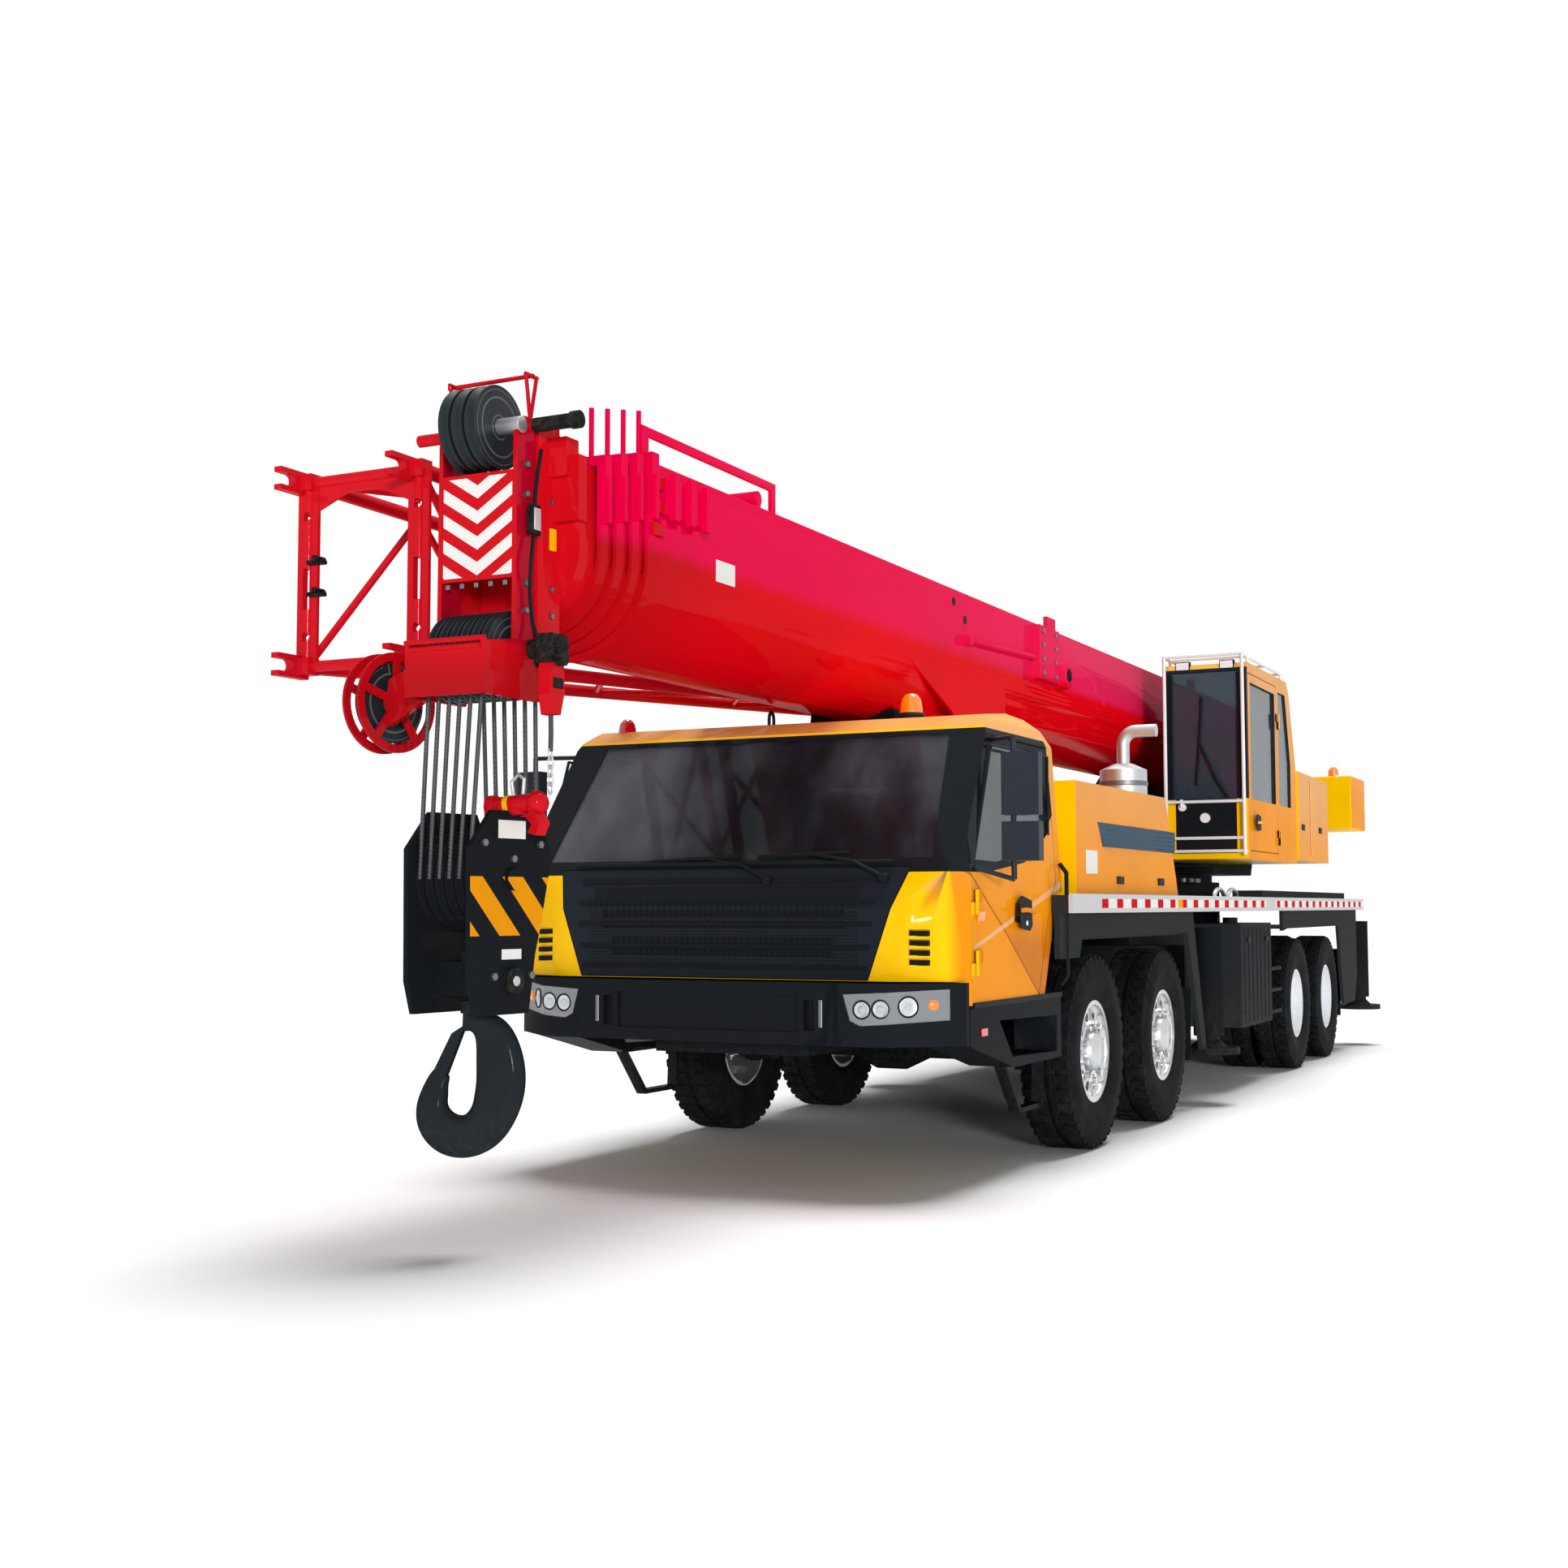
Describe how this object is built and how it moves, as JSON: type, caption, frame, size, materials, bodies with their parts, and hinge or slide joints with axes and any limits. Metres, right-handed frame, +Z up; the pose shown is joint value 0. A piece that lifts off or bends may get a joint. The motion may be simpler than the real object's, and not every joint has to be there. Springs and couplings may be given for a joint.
{
  "type": "truck crane",
  "caption": "Four-axle truck crane with a telescopic boom, lattice jib, hook block, two cabs and outriggers, each modelled as separate moving pieces.",
  "frame": {"origin": "on the ground, midway between the front of the boom head and the back of the counterweight", "axes": "+Z up, -Y towards the crane's front, +X towards its left"},
  "size_m": [3.04, 13.8501, 3.524],
  "materials": {
    "chassis_black": "semi-gloss",
    "frame_grey": "semi-gloss",
    "tyre": "matt",
    "cab_yellow": "gloss",
    "cab_orange": "gloss",
    "boom_red": "gloss",
    "glass": "clear",
    "lamp_glass": "clear",
    "trim_black": "satin",
    "silver": "brushed",
    "rope_steel": "oiled",
    "hook_black": "painted"
  },
  "bodies": {
    "carrier": {"chassis_frame": "frame_grey", "axles": "chassis_black", "deck": "frame_grey", "front_bumper": "chassis_black", "headlamps": "lamp_glass", "carrier_cab": "cab_yellow", "front_grille": "trim_black", "cab_glass": "glass", "cab_interior": "trim_black", "engine_hood": "cab_orange", "engine": "chassis_black", "exhaust": "silver", "side_boxes": "frame_grey"},
    "door_left": {"cab_door_left": "cab_orange", "door_glass_left": "glass", "mirror_left": "trim_black"},
    "door_right": {"cab_door_right": "cab_orange", "door_glass_right": "glass", "mirror_right": "trim_black"},
    "turntable": {"turntable_frame": "chassis_black", "side_covers": "cab_orange", "counterweight": "cab_yellow", "winches": "frame_grey", "operator_cab": "cab_yellow", "operator_glass": "glass", "operator_guard": "silver"},
    "operator_door": {"operator_door": "cab_orange", "operator_door_glass": "glass"},
    "boom": {"boom_base": "boom_red", "jib": "boom_red"},
    "section_2": {"boom_section_2": "boom_red"},
    "section_3": {"boom_section_3": "boom_red"},
    "section_4": {"boom_section_4": "boom_red"},
    "head": {"boom_head": "boom_red", "head_sheaves": "trim_black"},
    "hook_block": {"hook_block": "chassis_black", "rope_falls": "rope_steel"},
    "hook": {"hook": "hook_black"},
    "lift_barrel": {"lift_barrel": "boom_red"},
    "lift_rod": {"lift_rod": "silver"},
    "knuckle_1_left": {"knuckle_1_left": "chassis_black"},
    "knuckle_1_right": {"knuckle_1_right": "chassis_black"},
    "knuckle_2_left": {"knuckle_2_left": "chassis_black"},
    "knuckle_2_right": {"knuckle_2_right": "chassis_black"},
    "wheel_1_left": {"wheel_1_left": "tyre"},
    "wheel_1_right": {"wheel_1_right": "tyre"},
    "wheel_2_left": {"wheel_2_left": "tyre"},
    "wheel_2_right": {"wheel_2_right": "tyre"},
    "wheel_3_left": {"wheel_3_left": "tyre"},
    "wheel_3_right": {"wheel_3_right": "tyre"},
    "wheel_4_left": {"wheel_4_left": "tyre"},
    "wheel_4_right": {"wheel_4_right": "tyre"},
    "beam_front_left": {"beam_front_left": "chassis_black"},
    "jack_front_left": {"jack_front_left": "chassis_black"},
    "beam_front_right": {"beam_front_right": "chassis_black"},
    "jack_front_right": {"jack_front_right": "chassis_black"},
    "beam_rear_left": {"beam_rear_left": "chassis_black"},
    "jack_rear_left": {"jack_rear_left": "chassis_black"},
    "beam_rear_right": {"beam_rear_right": "chassis_black"},
    "jack_rear_right": {"jack_rear_right": "chassis_black"}
  },
  "joints": [
    {"name": "slew", "type": "hinge", "parent": "carrier", "child": "turntable", "pos_m": [0, 2.85, 1.64], "axis": [0, 0, 1], "continuous": true},
    {"name": "boom_raise", "type": "hinge", "parent": "turntable", "child": "boom", "pos_m": [0, 4.75, 2.8], "axis": [-1, 0, 0], "range_deg": [0, 78]},
    {"name": "lift_tilt", "type": "hinge", "parent": "turntable", "child": "lift_barrel", "pos_m": [0, 2.15, 1.85], "axis": [-1, 0, 0], "range_deg": [0, 89.88]},
    {"name": "lift_rod_slide", "type": "slide", "parent": "lift_barrel", "child": "lift_rod", "axis": [0, -0.9942, 0.108], "range_m": [0, 3.3149]},
    {"name": "telescope_2", "type": "slide", "parent": "boom", "child": "section_2", "axis": [0, -1, 0], "range_m": [0, 7.8]},
    {"name": "telescope_3", "type": "slide", "parent": "section_2", "child": "section_3", "axis": [0, -1, 0], "range_m": [0, 7.8]},
    {"name": "telescope_4", "type": "slide", "parent": "section_3", "child": "section_4", "axis": [0, -1, 0], "range_m": [0, 7.8]},
    {"name": "telescope_5", "type": "slide", "parent": "section_4", "child": "head", "axis": [0, -1, 0], "range_m": [0, 7.8]},
    {"name": "hook_swing", "type": "hinge", "parent": "head", "child": "hook_block", "pos_m": [0, -6.6, 2.37], "axis": [1, 0, 0], "range_deg": [-15, 66]},
    {"name": "hook_swivel", "type": "hinge", "parent": "hook_block", "child": "hook", "pos_m": [-0.012, -6.6, 1.087], "axis": [0, 0, 1], "continuous": true},
    {"name": "steer_1_left", "type": "hinge", "parent": "carrier", "child": "knuckle_1_left", "pos_m": [0.93, -2.45, 0.55], "axis": [0, 0, 1], "range_deg": [-35, 35]},
    {"name": "steer_1_right", "type": "hinge", "parent": "carrier", "child": "knuckle_1_right", "pos_m": [-0.93, -2.45, 0.55], "axis": [0, 0, 1], "range_deg": [-35, 35]},
    {"name": "steer_2_left", "type": "hinge", "parent": "carrier", "child": "knuckle_2_left", "pos_m": [0.93, -0.98, 0.55], "axis": [0, 0, 1], "range_deg": [-26, 26]},
    {"name": "steer_2_right", "type": "hinge", "parent": "carrier", "child": "knuckle_2_right", "pos_m": [-0.93, -0.98, 0.55], "axis": [0, 0, 1], "range_deg": [-26, 26]},
    {"name": "spin_1_left", "type": "hinge", "parent": "knuckle_1_left", "child": "wheel_1_left", "pos_m": [1.12, -2.45, 0.55], "axis": [1, 0, 0], "continuous": true},
    {"name": "spin_1_right", "type": "hinge", "parent": "knuckle_1_right", "child": "wheel_1_right", "pos_m": [-1.12, -2.45, 0.55], "axis": [1, 0, 0], "continuous": true},
    {"name": "spin_2_left", "type": "hinge", "parent": "knuckle_2_left", "child": "wheel_2_left", "pos_m": [1.12, -0.98, 0.55], "axis": [1, 0, 0], "continuous": true},
    {"name": "spin_2_right", "type": "hinge", "parent": "knuckle_2_right", "child": "wheel_2_right", "pos_m": [-1.12, -0.98, 0.55], "axis": [1, 0, 0], "continuous": true},
    {"name": "spin_3_left", "type": "hinge", "parent": "carrier", "child": "wheel_3_left", "pos_m": [0.968, 3.32, 0.55], "axis": [1, 0, 0], "continuous": true},
    {"name": "spin_3_right", "type": "hinge", "parent": "carrier", "child": "wheel_3_right", "pos_m": [-0.968, 3.32, 0.55], "axis": [1, 0, 0], "continuous": true},
    {"name": "spin_4_left", "type": "hinge", "parent": "carrier", "child": "wheel_4_left", "pos_m": [0.968, 4.67, 0.55], "axis": [1, 0, 0], "continuous": true},
    {"name": "spin_4_right", "type": "hinge", "parent": "carrier", "child": "wheel_4_right", "pos_m": [-0.968, 4.67, 0.55], "axis": [1, 0, 0], "continuous": true},
    {"name": "door_left_hinge", "type": "hinge", "parent": "carrier", "child": "door_left", "pos_m": [1.266, -4.37, 1.4], "axis": [0, 0, -1], "range_deg": [0, 60]},
    {"name": "door_right_hinge", "type": "hinge", "parent": "carrier", "child": "door_right", "pos_m": [-1.266, -4.37, 1.4], "axis": [0, 0, 1], "range_deg": [0, 60]},
    {"name": "operator_door_hinge", "type": "hinge", "parent": "turntable", "child": "operator_door", "pos_m": [1.306, 2.5, 2.4], "axis": [0, 0, 1], "range_deg": [0, 75]},
    {"name": "beam_front_left_slide", "type": "slide", "parent": "carrier", "child": "beam_front_left", "axis": [1, 0, 0], "range_m": [0, 1.85]},
    {"name": "jack_front_left_slide", "type": "slide", "parent": "beam_front_left", "child": "jack_front_left", "axis": [0, 0, -1], "range_m": [0, 0.5]},
    {"name": "beam_front_right_slide", "type": "slide", "parent": "carrier", "child": "beam_front_right", "axis": [-1, 0, 0], "range_m": [0, 1.85]},
    {"name": "jack_front_right_slide", "type": "slide", "parent": "beam_front_right", "child": "jack_front_right", "axis": [0, 0, -1], "range_m": [0, 0.5]},
    {"name": "beam_rear_left_slide", "type": "slide", "parent": "carrier", "child": "beam_rear_left", "axis": [1, 0, 0], "range_m": [0, 1.85]},
    {"name": "jack_rear_left_slide", "type": "slide", "parent": "beam_rear_left", "child": "jack_rear_left", "axis": [0, 0, -1], "range_m": [0, 0.5]},
    {"name": "beam_rear_right_slide", "type": "slide", "parent": "carrier", "child": "beam_rear_right", "axis": [-1, 0, 0], "range_m": [0, 1.85]},
    {"name": "jack_rear_right_slide", "type": "slide", "parent": "beam_rear_right", "child": "jack_rear_right", "axis": [0, 0, -1], "range_m": [0, 0.5]}
  ],
  "couplings": [
    {"joint": "lift_tilt", "follows": "boom_raise", "ratio": 1.146},
    {"joint": "lift_rod_slide", "follows": "boom_raise", "m_per_rad": 2.4313},
    {"joint": "telescope_4", "follows": "telescope_3", "ratio": 1},
    {"joint": "telescope_5", "follows": "telescope_3", "ratio": 1},
    {"joint": "steer_1_right", "follows": "steer_1_left", "ratio": 1},
    {"joint": "steer_2_left", "follows": "steer_1_left", "ratio": 0.74},
    {"joint": "steer_2_right", "follows": "steer_1_left", "ratio": 0.74}
  ]
}
